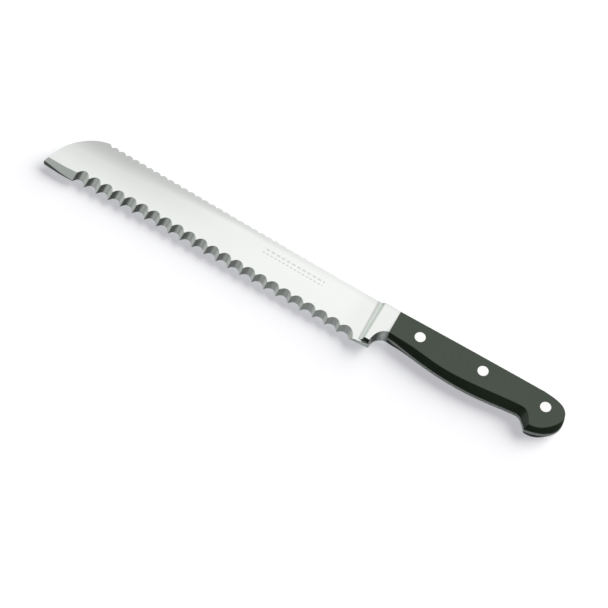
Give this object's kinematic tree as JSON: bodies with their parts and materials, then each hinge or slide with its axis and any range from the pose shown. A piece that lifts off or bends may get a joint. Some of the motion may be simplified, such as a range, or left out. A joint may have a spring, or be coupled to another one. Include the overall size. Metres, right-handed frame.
{
  "type": "bread knife",
  "caption": "Bread knife with a scalloped edge, rounded nose, wavy spine, forged bolster and full tang held between riveted black scales with a hooked butt.",
  "frame": {"origin": "middle of the knife's length and height, in the plane of the lower scale's broad face, on which the knife lies", "axes": "+X from the nose to the butt, +Y from the cutting edge to the spine, +Z through the thickness towards the ground side"},
  "size_m": [0.33, 0.0322, 0.0124],
  "materials": {
    "blade_steel": "fine satin with a polished bolster",
    "handle_plastic": "satin moulded",
    "rivet_steel": "polished flush"
  },
  "bodies": {
    "root": {"forged_blade": "blade_steel", "scale_upper": "handle_plastic", "scale_lower": "handle_plastic", "rivet_front_male": "rivet_steel", "rivet_front_female": "rivet_steel", "rivet_middle_male": "rivet_steel", "rivet_middle_female": "rivet_steel", "rivet_rear_male": "rivet_steel", "rivet_rear_female": "rivet_steel"}
  },
  "joints": []
}
